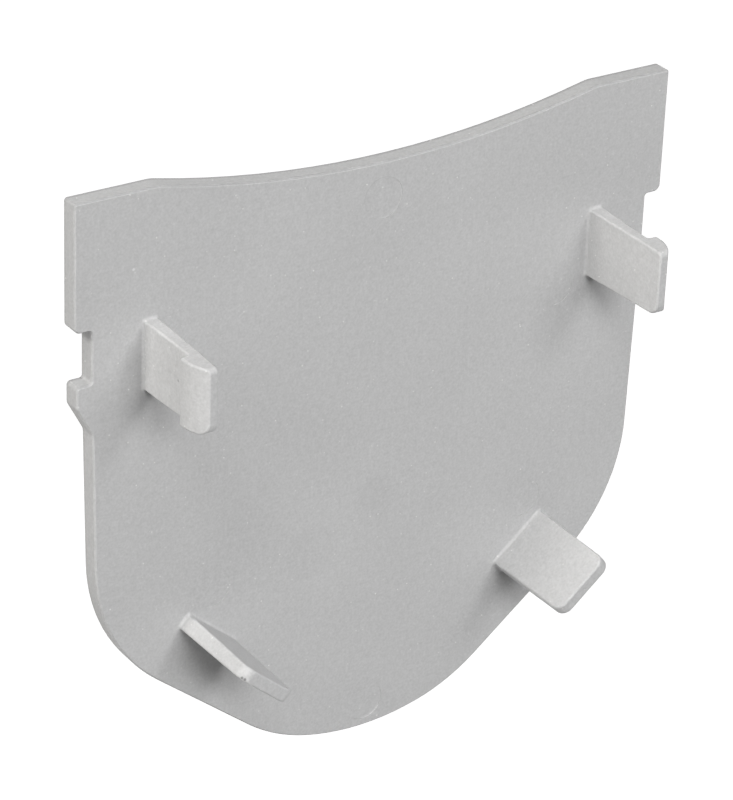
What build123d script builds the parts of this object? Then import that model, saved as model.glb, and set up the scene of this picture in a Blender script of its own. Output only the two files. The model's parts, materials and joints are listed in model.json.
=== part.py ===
"""Drain end cap: one moulded plastic plate that closes the end of a surface drain channel.

Millimetres, +Z up to the plate's top edge, the four tabs point along -Y into the channel.
The origin lies on the inner face, on the centre line, at half the plate's height.
"""

import os
from math import atan2, cos, degrees, radians, sin, sqrt, tan

from build123d import *

# The plate
plate_width = 100.0
plate_height = 98.1
plate_thickness = 3.1
rim_chamfer = 0.25

# Concave top edge between two flat shoulders
top_arc_width = 73.4
top_arc_depth = 4.2
top_arc_blend = 6.0
top_corner_radius = 0.5

# Side notch and the hook under it
block_height = 19.5
block_corner_radius = 1.0
notch_depth = 2.7
notch_height = 8.2
notch_root_radius = 0.6
notch_floor_radius = 0.5
hook_inset = 0.3
hook_height = 3.3
hook_tip_radius = 0.6
hook_back_radius = 1.0
ramp_height = 4.75
ramp_blend = 1.5

# Lower outline: leaning side, round corner, slant and round bottom
side_inset = 2.85
side_lean = 1.2
side_corner_radius = 28.0
slant_angle = 38.85
bottom_blend_radius = 28.2
bottom_radius = 39.3
bottom_half_angle = 14.7

# Upper tabs, upright, each with a catch on its outer face
upper_tab_length = 17.0
upper_tab_height = 10.8
upper_tab_tip_height = 10.25
upper_tab_root_thickness = 2.25
upper_tab_tip_thickness = 1.5
upper_tab_drop = 25.15
upper_tab_top_radius = 0.9
upper_tab_bottom_radius = 1.8

# The catch: a step that faces the plate, then a rounded nose down to the tip
catch_distance = 11.8
catch_height = 1.45
catch_nose_radius = 6.2
catch_nose_start = 0.9

# Lower tabs, nearly parallel to the slants
lower_tab_length = 16.8
lower_tab_width = 10.8
lower_tab_tip_width = 10.5
lower_tab_root_thickness = 2.5
lower_tab_tip_thickness = 2.1
lower_tab_lean = 1.45
lower_tab_along = 17.05
lower_tab_tip_radius = 1.8

# Shared by all tabs: the rim is the distance from the outline to a tab's outer face
tab_rim = 8.15
tab_edge_radius = 0.35
tab_root_radius = 0.45
tab_embed = 1.5
tolerance = 0.01

# Shallow round marks of the ejector pins on the inner face
pin_mark_radius = 3.2
pin_mark_depth = 0.06
pin_top_drop = 9.8
pin_bottom_rise = 4.5
pin_upper_inset = 5.5
pin_upper_below = 5.85
pin_lower_inset = 4.9
pin_lower_along = 4.6

# Heights and positions that follow from the dimensions
top_z = plate_height / 2
half_width = plate_width / 2
arc_half = top_arc_width / 2
top_arc_radius = (arc_half**2 + top_arc_depth**2) / (2 * top_arc_depth)
block_z = top_z - block_height
notch_x = half_width - notch_depth
hook_z = block_z - notch_height
hook_x = half_width - hook_inset
ramp_z = hook_z - hook_height
side_x = half_width - side_inset
side_z = ramp_z - ramp_height

# The round bottom: a wide arc in the middle, a tighter one on each side, then the straight slant
wide_centre_z = -top_z + bottom_radius
blend_x = (bottom_radius - bottom_blend_radius) * sin(radians(bottom_half_angle))
blend_z = wide_centre_z - (bottom_radius - bottom_blend_radius) * cos(radians(bottom_half_angle))
slant_x = blend_x + bottom_blend_radius * sin(radians(slant_angle))
slant_z = blend_z - bottom_blend_radius * cos(radians(slant_angle))

# Where the slant and the leaning side would meet without their round corner
slope = tan(radians(slant_angle))
lean = tan(radians(side_lean))
corner_z = (slant_z + slope * (side_x - lean * side_z - slant_x)) / (1 - slope * lean)
corner_x = side_x - lean * (side_z - corner_z)

# Root centres of the tabs' inner faces: a rim away from the notch wall and from the slant
upper_tab_x = notch_x - tab_rim - upper_tab_root_thickness
upper_tab_z = top_z - upper_tab_drop


def beside_slant(along, inward):
    """A point given by its distance along the right slant from the round bottom, and its distance inward."""
    turn = radians(slant_angle)
    x = slant_x + along * cos(turn) - inward * sin(turn)
    z = slant_z + along * sin(turn) + inward * cos(turn)
    return x, z


lower_tab_inward = tab_rim + lower_tab_root_thickness
lower_tab_x, lower_tab_z = beside_slant(lower_tab_along, lower_tab_inward)
pin_upper_x = upper_tab_x - pin_upper_inset
pin_upper_z = upper_tab_z - pin_upper_below
pin_lower_x, pin_lower_z = beside_slant(lower_tab_along + pin_lower_along, lower_tab_inward + pin_lower_inset)


def at(shapes, x, z):
    """Both mirrored vertices of a flat outline at one distance from the centre line."""
    return shapes.filter_by(lambda v: abs(abs(v.X) - x) < tolerance and abs(v.Y - z) < tolerance)


def tab_plan(length, width, tip_width, first_radius, second_radius):
    """A tab seen square to its face: X across its width, Y to its tip.

    The corner at +X takes the first radius and the corner at -X the second.
    """
    wide = width / 2 + tab_embed * (width - tip_width) / (2 * length)
    with BuildSketch(Plane.XY) as plan:
        with BuildLine():
            Polyline(
                (-wide, -tab_embed),
                (-tip_width / 2, length),
                (tip_width / 2, length),
                (wide, -tab_embed),
                close=True,
            )
        make_face()
        tip = plan.vertices().group_by(Axis.Y)[-1].sort_by(Axis.X)
        fillet(tip[-1], radius=first_radius)
        tip = plan.vertices().filter_by(lambda v: abs(v.Y - length) < tolerance)
        fillet(tip.sort_by(Axis.X)[0], radius=second_radius)
    return plan.sketch


# An upper tab's section: Y to the tip, Z through the tab, outward
upper_draft = (upper_tab_root_thickness - upper_tab_tip_thickness) / 2
upper_back = upper_draft * tab_embed / upper_tab_length
catch_foot = upper_tab_root_thickness - upper_draft * catch_distance / upper_tab_length
catch_top = catch_foot + catch_height
nose_start = catch_distance + catch_nose_start
nose_drop = catch_nose_radius - sqrt(catch_nose_radius**2 - (upper_tab_length - nose_start) ** 2)
upper_plan = tab_plan(
    upper_tab_length,
    upper_tab_height,
    upper_tab_tip_height,
    upper_tab_top_radius,
    upper_tab_bottom_radius,
)
with BuildPart() as upper_tab:
    with BuildSketch(Plane.YZ):
        with BuildLine():
            inner = Line((-tab_embed, -upper_back), (upper_tab_length, upper_draft))
            end = Line(inner @ 1, (upper_tab_length, catch_top - nose_drop))
            nose = CenterArc(
                (nose_start, catch_top - catch_nose_radius),
                catch_nose_radius,
                90,
                -degrees(atan2(upper_tab_length - nose_start, catch_nose_radius - nose_drop)),
            )
            Polyline(
                nose @ 0,
                (catch_distance, catch_top),
                (catch_distance, catch_foot),
                (-tab_embed, upper_tab_root_thickness + upper_back),
                inner @ 0,
            )
        make_face()
    extrude(amount=upper_tab_height, both=True)
    with BuildSketch(Plane.XY):
        add(upper_plan)
    extrude(amount=2 * catch_top, both=True, mode=Mode.INTERSECT)
    fillet(upper_tab.edges().filter_by(lambda e: e.center().Y > 0), radius=tab_edge_radius)

# A lower tab, in the same frame
lower_draft = (lower_tab_root_thickness - lower_tab_tip_thickness) / 2
lower_back = lower_draft * tab_embed / lower_tab_length
lower_plan = tab_plan(
    lower_tab_length,
    lower_tab_width,
    lower_tab_tip_width,
    lower_tab_tip_radius,
    lower_tab_tip_radius,
)
with BuildPart() as lower_tab:
    with BuildSketch(Plane.YZ):
        with BuildLine():
            Polyline(
                (-tab_embed, -lower_back),
                (lower_tab_length, lower_draft),
                (lower_tab_length, lower_draft + lower_tab_tip_thickness),
                (-tab_embed, lower_tab_root_thickness + lower_back),
                close=True,
            )
        make_face()
    extrude(amount=lower_tab_width, both=True)
    with BuildSketch(Plane.XY):
        add(lower_plan)
    extrude(amount=2 * lower_tab_root_thickness, both=True, mode=Mode.INTERSECT)
    fillet(lower_tab.edges().filter_by(lambda e: e.center().Y > 0), radius=tab_edge_radius)

upper_plane = Plane(origin=(upper_tab_x, 0, upper_tab_z), x_dir=(0, 0, 1), z_dir=(1, 0, 0))
turn = radians(slant_angle + lower_tab_lean)
lower_plane = Plane(
    origin=(lower_tab_x, 0, lower_tab_z),
    x_dir=(cos(turn), 0, sin(turn)),
    z_dir=(sin(turn), 0, -cos(turn)),
)

with BuildPart() as end_cap:
    # The plate's outline, right half drawn and mirrored
    with BuildSketch(Plane.XZ) as outline:
        with BuildLine():
            CenterArc((0, top_z - top_arc_depth + top_arc_radius), top_arc_radius, 270,
                      degrees(atan2(arc_half, top_arc_radius - top_arc_depth)))
            Polyline(
                (arc_half, top_z),
                (half_width, top_z),
                (half_width, block_z),
                (notch_x, block_z),
                (notch_x, hook_z),
                (hook_x, hook_z),
                (hook_x, ramp_z),
                (side_x, side_z),
                (corner_x, corner_z),
                (slant_x, slant_z),
            )
            CenterArc((blend_x, blend_z), bottom_blend_radius, 270 + bottom_half_angle,
                      slant_angle - bottom_half_angle)
            CenterArc((0, wide_centre_z), bottom_radius, 270, bottom_half_angle)
            mirror(about=Plane.YZ)
        make_face()
        fillet(at(outline.vertices(), corner_x, corner_z), radius=side_corner_radius)
        fillet(at(outline.vertices(), arc_half, top_z), radius=top_arc_blend)
        fillet(at(outline.vertices(), half_width, top_z), radius=top_corner_radius)
        fillet(at(outline.vertices(), half_width, block_z), radius=block_corner_radius)
        fillet(at(outline.vertices(), notch_x, block_z), radius=notch_root_radius)
        fillet(at(outline.vertices(), notch_x, hook_z), radius=notch_floor_radius)
        fillet(at(outline.vertices(), hook_x, hook_z), radius=hook_tip_radius)
        fillet(at(outline.vertices(), hook_x, ramp_z), radius=hook_back_radius)
        fillet(at(outline.vertices(), side_x, side_z), radius=ramp_blend)
    extrude(amount=-plate_thickness)
    rims = end_cap.faces().filter_by(Axis.Y).edges()
    chamfer(rims, length=rim_chamfer)

    # The tabs, built on the right and mirrored to the left
    for tab, plane in ((upper_tab, upper_plane), (lower_tab, lower_plane)):
        placed = plane.location * tab.part
        add(placed)
        add(placed.mirror(Plane.YZ))

    # Small root fillets where the tabs leave the plate
    for plane, width, thickness in (
        (upper_plane, upper_tab_height, upper_tab_root_thickness),
        (lower_plane, lower_tab_width, lower_tab_root_thickness),
    ):
        spots = (plane.origin, Vector(-plane.origin.X, 0, plane.origin.Z))
        near = (width + thickness) / 2
        inner_edges = end_cap.edges().filter_by(lambda e: abs(e.center().Y) < tolerance)
        roots = inner_edges.filter_by(lambda e: min((e.center() - spot).length for spot in spots) < near)
        fillet(roots, radius=tab_root_radius)

    # Ejector-pin marks
    with BuildSketch(Plane.XZ):
        with Locations(
            (0, top_z - pin_top_drop),
            (0, -top_z + pin_bottom_rise),
            (-pin_lower_x, pin_lower_z),
            (pin_lower_x, pin_lower_z),
            (-pin_upper_x, pin_upper_z),
            (pin_upper_x, pin_upper_z),
        ):
            Circle(pin_mark_radius)
    extrude(amount=-pin_mark_depth, mode=Mode.SUBTRACT)

end_cap.part.label = "end_cap"

os.makedirs("parts", exist_ok=True)
export_step(end_cap.part, "parts/end_cap.step")
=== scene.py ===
"""Looks of the drain end cap: moulded grey plastic on a plain pale floor, in metres.

+Z is up to the dished top edge, -Y is the way the tabs point, and the origin lies on the inner face.
"""

import json
from math import cos, radians, sin

import bpy
from mathutils import Matrix, Vector

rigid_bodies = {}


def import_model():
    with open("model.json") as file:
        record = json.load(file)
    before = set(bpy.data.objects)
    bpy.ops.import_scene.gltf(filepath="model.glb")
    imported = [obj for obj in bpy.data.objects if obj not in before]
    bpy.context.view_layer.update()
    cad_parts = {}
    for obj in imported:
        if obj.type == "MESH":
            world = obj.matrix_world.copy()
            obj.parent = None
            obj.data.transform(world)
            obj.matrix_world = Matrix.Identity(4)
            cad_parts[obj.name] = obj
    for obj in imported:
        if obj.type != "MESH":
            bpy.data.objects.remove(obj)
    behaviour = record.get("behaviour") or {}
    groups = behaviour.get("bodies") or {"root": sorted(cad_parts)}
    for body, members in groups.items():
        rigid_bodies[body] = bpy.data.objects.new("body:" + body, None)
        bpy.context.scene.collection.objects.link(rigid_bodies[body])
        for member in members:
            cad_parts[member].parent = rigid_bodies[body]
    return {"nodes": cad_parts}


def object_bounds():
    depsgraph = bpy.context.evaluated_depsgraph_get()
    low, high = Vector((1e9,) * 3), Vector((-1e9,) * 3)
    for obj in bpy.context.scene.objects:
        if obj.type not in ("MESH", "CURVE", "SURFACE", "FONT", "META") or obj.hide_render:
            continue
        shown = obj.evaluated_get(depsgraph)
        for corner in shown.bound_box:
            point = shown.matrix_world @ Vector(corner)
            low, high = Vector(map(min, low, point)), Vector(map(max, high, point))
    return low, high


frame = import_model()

cad_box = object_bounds()

# Camera: the eye's place and the way it looks, as the photograph's perspective gives them
eye = Vector((-0.2679, -0.3917, 0.2533))
view_azimuth = radians(34.21)
view_elevation = radians(27.44)
view_roll = radians(-2.26)
image_height = 800
focal_pixels = 3671
sensor = 36.0
nearest_seen = 0.01
farthest_seen = 50.0

# Floor: pale, and far enough below the held part to throw little light back on it
floor_drop = 1.5
floor_size = 10.0
floor_colour = (0.85, 0.85, 0.85)
floor_roughness = 0.9
floor_glow = 0.94

# World: a little even light on the part, and white where it is seen
white = (1, 1, 1)
sky_strength = 0.06

# Lamps: the azimuth and elevation that each shines from, its power in watts, and its colour.
# Azimuth 0 is in front of the tabs, and -90 is to the left.
lamp_size = 0.5
lamp_distance = 1.9
warm = (1, 0.985, 0.955)
lamps = {
    "left": (-90, 40, 21, warm),
    "low_left": (-90, 10, 9.6, warm),
    "high_left": (-60, 60, 9.2, white),
    "high_front": (-10, 28, 12.7, white),
    "front": (5, 20, 10.5, white),
    "right_front": (25, 35, 6.7, white),
    "right": (90, 20, 4, white),
    "behind": (165, 8, 23, white),
}

# Colours as they render in plain light
plastic_colour = (0.48, 0.48, 0.4815)
speck_colour = (0.72, 0.72, 0.71)

# Noise patterns of the plastic: features to the metre, and the number of finer layers
clouds_pattern = (45, 3)
grain_pattern = (2600, 2)
mottle_pattern = (1000, 2)

# The part of each pattern's range that is used, and what it does to the tone and the roughness
clouds_range = (0.3, 0.7)
grain_range = (0.25, 0.75)
clouds_tone = (0.97, 1.03)
grain_tone = (0.915, 1.085)
mottle_tone = (0.95, 1.05)
mottle_roughness = (0.62, 0.74)
clouds_roughness = (-0.04, 0.04)
plastic_specular = 0.3

# Fine relief of the moulded grain, in which the specks stand out
relief_strength = 0.6
relief_height = 0.00003
speck_relief = 2.5

# Pale specks of filler: cells to the metre, and the size of a speck and of its full core in a cell
speck_scale = 700.0
speck_radius = 0.13
speck_core = 0.03

# Painted shade: the plate's edge walls are painted darker than its faces, most of all where they face up,
# with the front chamfer's light line painted dimmer and a dark line painted along the rear edge.
# Each step gives two depths from the inner face and how much the painted shade grows between them.
wall_shade_steps = (
    (0.00003, 0.00006, 1.6),
    (0.00025, 0.00040, -0.6),
    (0.00225, 0.00245, 0.8),
    (0.00290, 0.00308, -1.8),
)
# Shares of the painted shade on level walls and on walls that face up
wall_shade_share = 0.07
top_shade_share = 0.2
# Below the first value of its normal's Y, a surface faces the tabs' way and gets no painted shade
flat_facing = (-0.95, -0.8)

# A painted highlight on the bottom pin mark's rim at its lower right: soft spots along an arc
pin_rim = 0.0031
pin_height = -0.04455
highlight_radius = 0.0004
highlight_edge = 0.00038
highlight_change = 0.15
highlight_middle = -60
highlight_turns = range(-100, -27, 6)
rim_highlight = tuple(
    (
        (pin_rim * cos(radians(turn)), 0, pin_height + pin_rim * sin(radians(turn))),
        highlight_radius,
        highlight_edge,
        highlight_change * cos(radians(2 * (turn - highlight_middle))),
    )
    for turn in highlight_turns
)

# Round marks: the centre, the radius, the width of the soft edge, and the change of tone
marks = (
    # Faint stains and a paler spot on the plate
    ((-0.0104, -0.004, -0.0155), 0.00656, 0.0012, -0.024),
    ((0.0004, -0.004, -0.0087), 0.00566, 0.0012, -0.034),
    ((0.0020, -0.002, -0.0129), 0.00262, 0.0008, -0.025),
    ((0.0112, -0.004, -0.0125), 0.00525, 0.0014, -0.014),
    ((-0.0194, -0.001, -0.0026), 0.00172, 0.0006, -0.024),
    ((0.0006, -0.003, -0.0015), 0.00390, 0.0014, 0.018),
    # A bright speck on the plate, a dark spot on the upper left tab and two dark dots near the tip of the
    # lower left one
    ((-0.0408, 0, 0.0374), 0.00030, 0.0002, 0.3),
    ((-0.0390, -0.0091, 0.0240), 0.00030, 0.0002, -0.3),
    ((-0.03205, -0.0162, -0.0219), 0.00028, 0.00015, -0.6),
    ((-0.03175, -0.0165, -0.0221), 0.00028, 0.00015, -0.6),
    # The top pin mark's rim: a painted highlight at its lower right and painted shade at its upper left,
    # from two balls a little apart
    ((0, -0.001, 0.03925), 0.003353, 0.0001, 0.12),
    ((-0.00011, -0.001, 0.03936), 0.003353, 0.0001, -0.107),
    # Painted highlight along the bottom pin mark's rim
    *rim_highlight,
)


def clear_default_objects():
    """Nothing but the part is in the scene at the start."""
    for thing in list(bpy.data.objects):
        if thing.type in ("LIGHT", "CAMERA"):
            bpy.data.objects.remove(thing)


def add_camera():
    """A long lens at the photograph's viewing angle."""
    forward = Vector((
        sin(view_azimuth) * cos(view_elevation),
        cos(view_azimuth) * cos(view_elevation),
        -sin(view_elevation),
    ))
    level_right = forward.cross(Vector((0, 0, 1))).normalized()
    level_up = level_right.cross(forward)
    right = level_right * cos(view_roll) - level_up * sin(view_roll)
    up = level_up * cos(view_roll) + level_right * sin(view_roll)
    data = bpy.data.cameras.new("camera")
    data.sensor_width = sensor
    data.lens = focal_pixels * sensor / image_height
    data.clip_start = nearest_seen
    data.clip_end = farthest_seen
    camera = bpy.data.objects.new("camera", data)
    camera.matrix_world = Matrix((
        (right.x, up.x, -forward.x, eye.x),
        (right.y, up.y, -forward.y, eye.y),
        (right.z, up.z, -forward.z, eye.z),
        (0, 0, 0, 1),
    ))
    bpy.context.scene.collection.objects.link(camera)
    bpy.context.scene.camera = camera


def new_material(name):
    """An empty node material and its Principled shader."""
    material = bpy.data.materials.new(name)
    material.use_nodes = True
    tree = material.node_tree
    tree.nodes.clear()
    out = tree.nodes.new("ShaderNodeOutputMaterial")
    shader = tree.nodes.new("ShaderNodeBsdfPrincipled")
    tree.links.new(shader.outputs["BSDF"], out.inputs["Surface"])
    return material, tree, shader


def part_place(tree):
    """The place on the part, in metres from the part's origin."""
    return tree.nodes.new("ShaderNodeTexCoord").outputs["Object"]


def noise(tree, place, scale, detail):
    """A random value near 0.5 whose features are about 1 / scale metres wide."""
    node = tree.nodes.new("ShaderNodeTexNoise")
    node.inputs["Scale"].default_value = scale
    node.inputs["Detail"].default_value = detail
    tree.links.new(place, node.inputs["Vector"])
    return node.outputs["Fac"]


def remap(tree, value, old, new, smooth=False):
    """The value carried from one range to another, held at the ends."""
    node = tree.nodes.new("ShaderNodeMapRange")
    node.interpolation_type = "SMOOTHSTEP" if smooth else "LINEAR"
    tree.links.new(value, node.inputs["Value"])
    for socket, number in zip(("From Min", "From Max", "To Min", "To Max"), (*old, *new)):
        node.inputs[socket].default_value = number
    return node.outputs["Result"]


def combine(tree, operation, first, second):
    """Two values, or a value and a number, put together by a Math node."""
    node = tree.nodes.new("ShaderNodeMath")
    node.operation = operation
    tree.links.new(first, node.inputs[0])
    if isinstance(second, (int, float)):
        node.inputs[1].default_value = second
    else:
        tree.links.new(second, node.inputs[1])
    return node.outputs[0]


def filler_specks(tree, place):
    """Mask of small pale dots at the random points of a Voronoi pattern, each of its own strength."""
    cells = tree.nodes.new("ShaderNodeTexVoronoi")
    cells.inputs["Scale"].default_value = speck_scale
    tree.links.new(place, cells.inputs["Vector"])
    dots = remap(tree, cells.outputs["Distance"], (speck_core, speck_radius), (1, 0), smooth=True)
    channels = tree.nodes.new("ShaderNodeSeparateColor")
    tree.links.new(cells.outputs["Color"], channels.inputs[0])
    return combine(tree, "MULTIPLY", dots, channels.outputs[0])


def wall_painted_shade(tree, place):
    """Painted shade on the plate's edge walls, as a tone of 1 on both faces and on the tabs.

    The painted shade is a strength set by the depth, times a share set by how far the wall faces up
    and by whether it is turned away from the way the tabs point.
    """
    depth = tree.nodes.new("ShaderNodeSeparateXYZ")
    tree.links.new(place, depth.inputs[0])
    strength = None
    for near, far, growth in wall_shade_steps:
        step = remap(tree, depth.outputs["Y"], (near, far), (0, growth), smooth=True)
        strength = step if strength is None else combine(tree, "ADD", strength, step)
    facing = tree.nodes.new("ShaderNodeSeparateXYZ")
    tree.links.new(tree.nodes.new("ShaderNodeTexCoord").outputs["Normal"], facing.inputs[0])
    share = remap(tree, facing.outputs["Z"], (0, 1), (wall_shade_share, top_shade_share))
    turned = remap(tree, facing.outputs["Y"], flat_facing, (0, 1))
    share = combine(tree, "MULTIPLY", share, turned)
    return remap(tree, combine(tree, "MULTIPLY", strength, share), (0, 1), (1, 0))


def round_marks(tree, place):
    """Tone of the stains, spots and dark dots, and of the painted highlights and shade at the pin rims:
    each mark is a soft-edged ball cut by the surface.
    """
    total = None
    for centre, radius, edge, change in marks:
        away = tree.nodes.new("ShaderNodeVectorMath")
        away.operation = "DISTANCE"
        away.inputs[1].default_value = centre
        tree.links.new(place, away.inputs[0])
        spot = remap(tree, away.outputs["Value"], (radius - edge, radius), (1 + change, 1), smooth=True)
        total = spot if total is None else combine(tree, "MULTIPLY", total, spot)
    return total


def moulded_plastic():
    """Grey plastic with a fine moulded grain, pale specks, soft clouds and faint round marks, with painted
    shade on the edge walls and painted highlights and shade at the pin rims.
    """
    material, tree, shader = new_material("moulded_plastic")
    place = part_place(tree)
    clouds = noise(tree, place, *clouds_pattern)
    grain = noise(tree, place, *grain_pattern)
    mottle = noise(tree, place, *mottle_pattern)
    specks = filler_specks(tree, place)

    tone = combine(
        tree, "MULTIPLY",
        remap(tree, clouds, clouds_range, clouds_tone),
        remap(tree, grain, grain_range, grain_tone),
    )
    tone = combine(tree, "MULTIPLY", tone, remap(tree, mottle, grain_range, mottle_tone))
    tone = combine(tree, "MULTIPLY", tone, round_marks(tree, place))
    # Painted shade on the plate's edge walls
    tone = combine(tree, "MULTIPLY", tone, wall_painted_shade(tree, place))
    body = tree.nodes.new("ShaderNodeVectorMath")
    body.operation = "SCALE"
    body.inputs[0].default_value = plastic_colour
    tree.links.new(tone, body.inputs["Scale"])
    mix = tree.nodes.new("ShaderNodeMix")
    mix.data_type = "RGBA"
    mix.inputs["B"].default_value = (*speck_colour, 1)
    tree.links.new(specks, mix.inputs["Factor"])
    tree.links.new(body.outputs["Vector"], mix.inputs["A"])
    tree.links.new(mix.outputs["Result"], shader.inputs["Base Color"])

    shader.inputs["Specular IOR Level"].default_value = plastic_specular
    rough = combine(
        tree, "ADD",
        remap(tree, mottle, grain_range, mottle_roughness),
        remap(tree, clouds, clouds_range, clouds_roughness),
    )
    tree.links.new(rough, shader.inputs["Roughness"])

    bump = tree.nodes.new("ShaderNodeBump")
    bump.inputs["Strength"].default_value = relief_strength
    bump.inputs["Distance"].default_value = relief_height
    height = combine(
        tree, "ADD",
        combine(tree, "ADD", grain, mottle),
        combine(tree, "MULTIPLY", specks, speck_relief),
    )
    tree.links.new(height, bump.inputs["Height"])
    tree.links.new(bump.outputs["Normal"], shader.inputs["Normal"])
    return material


def seen_directly(tree):
    """1 where a camera, glossy or transmission ray looks at the surface, else 0."""
    light_path = tree.nodes.new("ShaderNodeLightPath").outputs
    seen = combine(tree, "MAXIMUM", light_path["Is Camera Ray"], light_path["Is Glossy Ray"])
    return combine(tree, "MAXIMUM", seen, light_path["Is Transmission Ray"])


def floor_paint():
    """Pale paint that is white to the camera and still takes the part's shadow."""
    material, tree, shader = new_material("floor_paint")
    shader.inputs["Base Color"].default_value = (*floor_colour, 1)
    shader.inputs["Roughness"].default_value = floor_roughness
    shader.inputs["Emission Color"].default_value = (*white, 1)
    glow = combine(tree, "MULTIPLY", seen_directly(tree), floor_glow)
    tree.links.new(glow, shader.inputs["Emission Strength"])
    return material


def add_floor():
    """A level square, centred below the part."""
    mesh = bpy.data.meshes.new("floor")
    low = cad_box[0][2] - floor_drop
    half = floor_size / 2
    corners = [(-half, -half, low), (half, -half, low), (half, half, low), (-half, half, low)]
    mesh.from_pydata(corners, [], [(0, 1, 2, 3)])
    floor = bpy.data.objects.new("floor", mesh)
    mesh.materials.append(floor_paint())
    bpy.context.scene.collection.objects.link(floor)


def add_world():
    """Even soft light, white to the camera."""
    world = bpy.data.worlds.new("studio")
    world.use_nodes = True
    tree = world.node_tree
    tree.nodes.clear()
    out = tree.nodes.new("ShaderNodeOutputWorld")
    sky = tree.nodes.new("ShaderNodeBackground")
    sky.inputs["Strength"].default_value = sky_strength
    seen = tree.nodes.new("ShaderNodeBackground")
    seen.inputs["Color"].default_value = (*white, 1)
    mix = tree.nodes.new("ShaderNodeMixShader")
    tree.links.new(seen_directly(tree), mix.inputs[0])
    tree.links.new(sky.outputs[0], mix.inputs[1])
    tree.links.new(seen.outputs[0], mix.inputs[2])
    tree.links.new(mix.outputs[0], out.inputs[0])
    bpy.context.scene.world = world


def add_lamp(name, azimuth, elevation, power, colour):
    """A square soft light that looks at the part's origin."""
    turn, rise = radians(azimuth), radians(elevation)
    place = lamp_distance * Vector((sin(turn) * cos(rise), -cos(turn) * cos(rise), sin(rise)))
    data = bpy.data.lights.new(name, "AREA")
    data.shape = "SQUARE"
    data.size = lamp_size
    data.energy = power
    data.color = colour
    lamp = bpy.data.objects.new(name, data)
    lamp.location = place
    lamp.rotation_euler = (-place).to_track_quat("-Z", "Y").to_euler()
    bpy.context.scene.collection.objects.link(lamp)


clear_default_objects()
add_camera()
add_floor()
add_world()
for name, setting in lamps.items():
    add_lamp(name, *setting)

plastic = moulded_plastic()
for node in frame["nodes"].values():
    for slot in node.material_slots:
        slot.material = plastic

bpy.context.scene.view_settings.view_transform = "Standard"
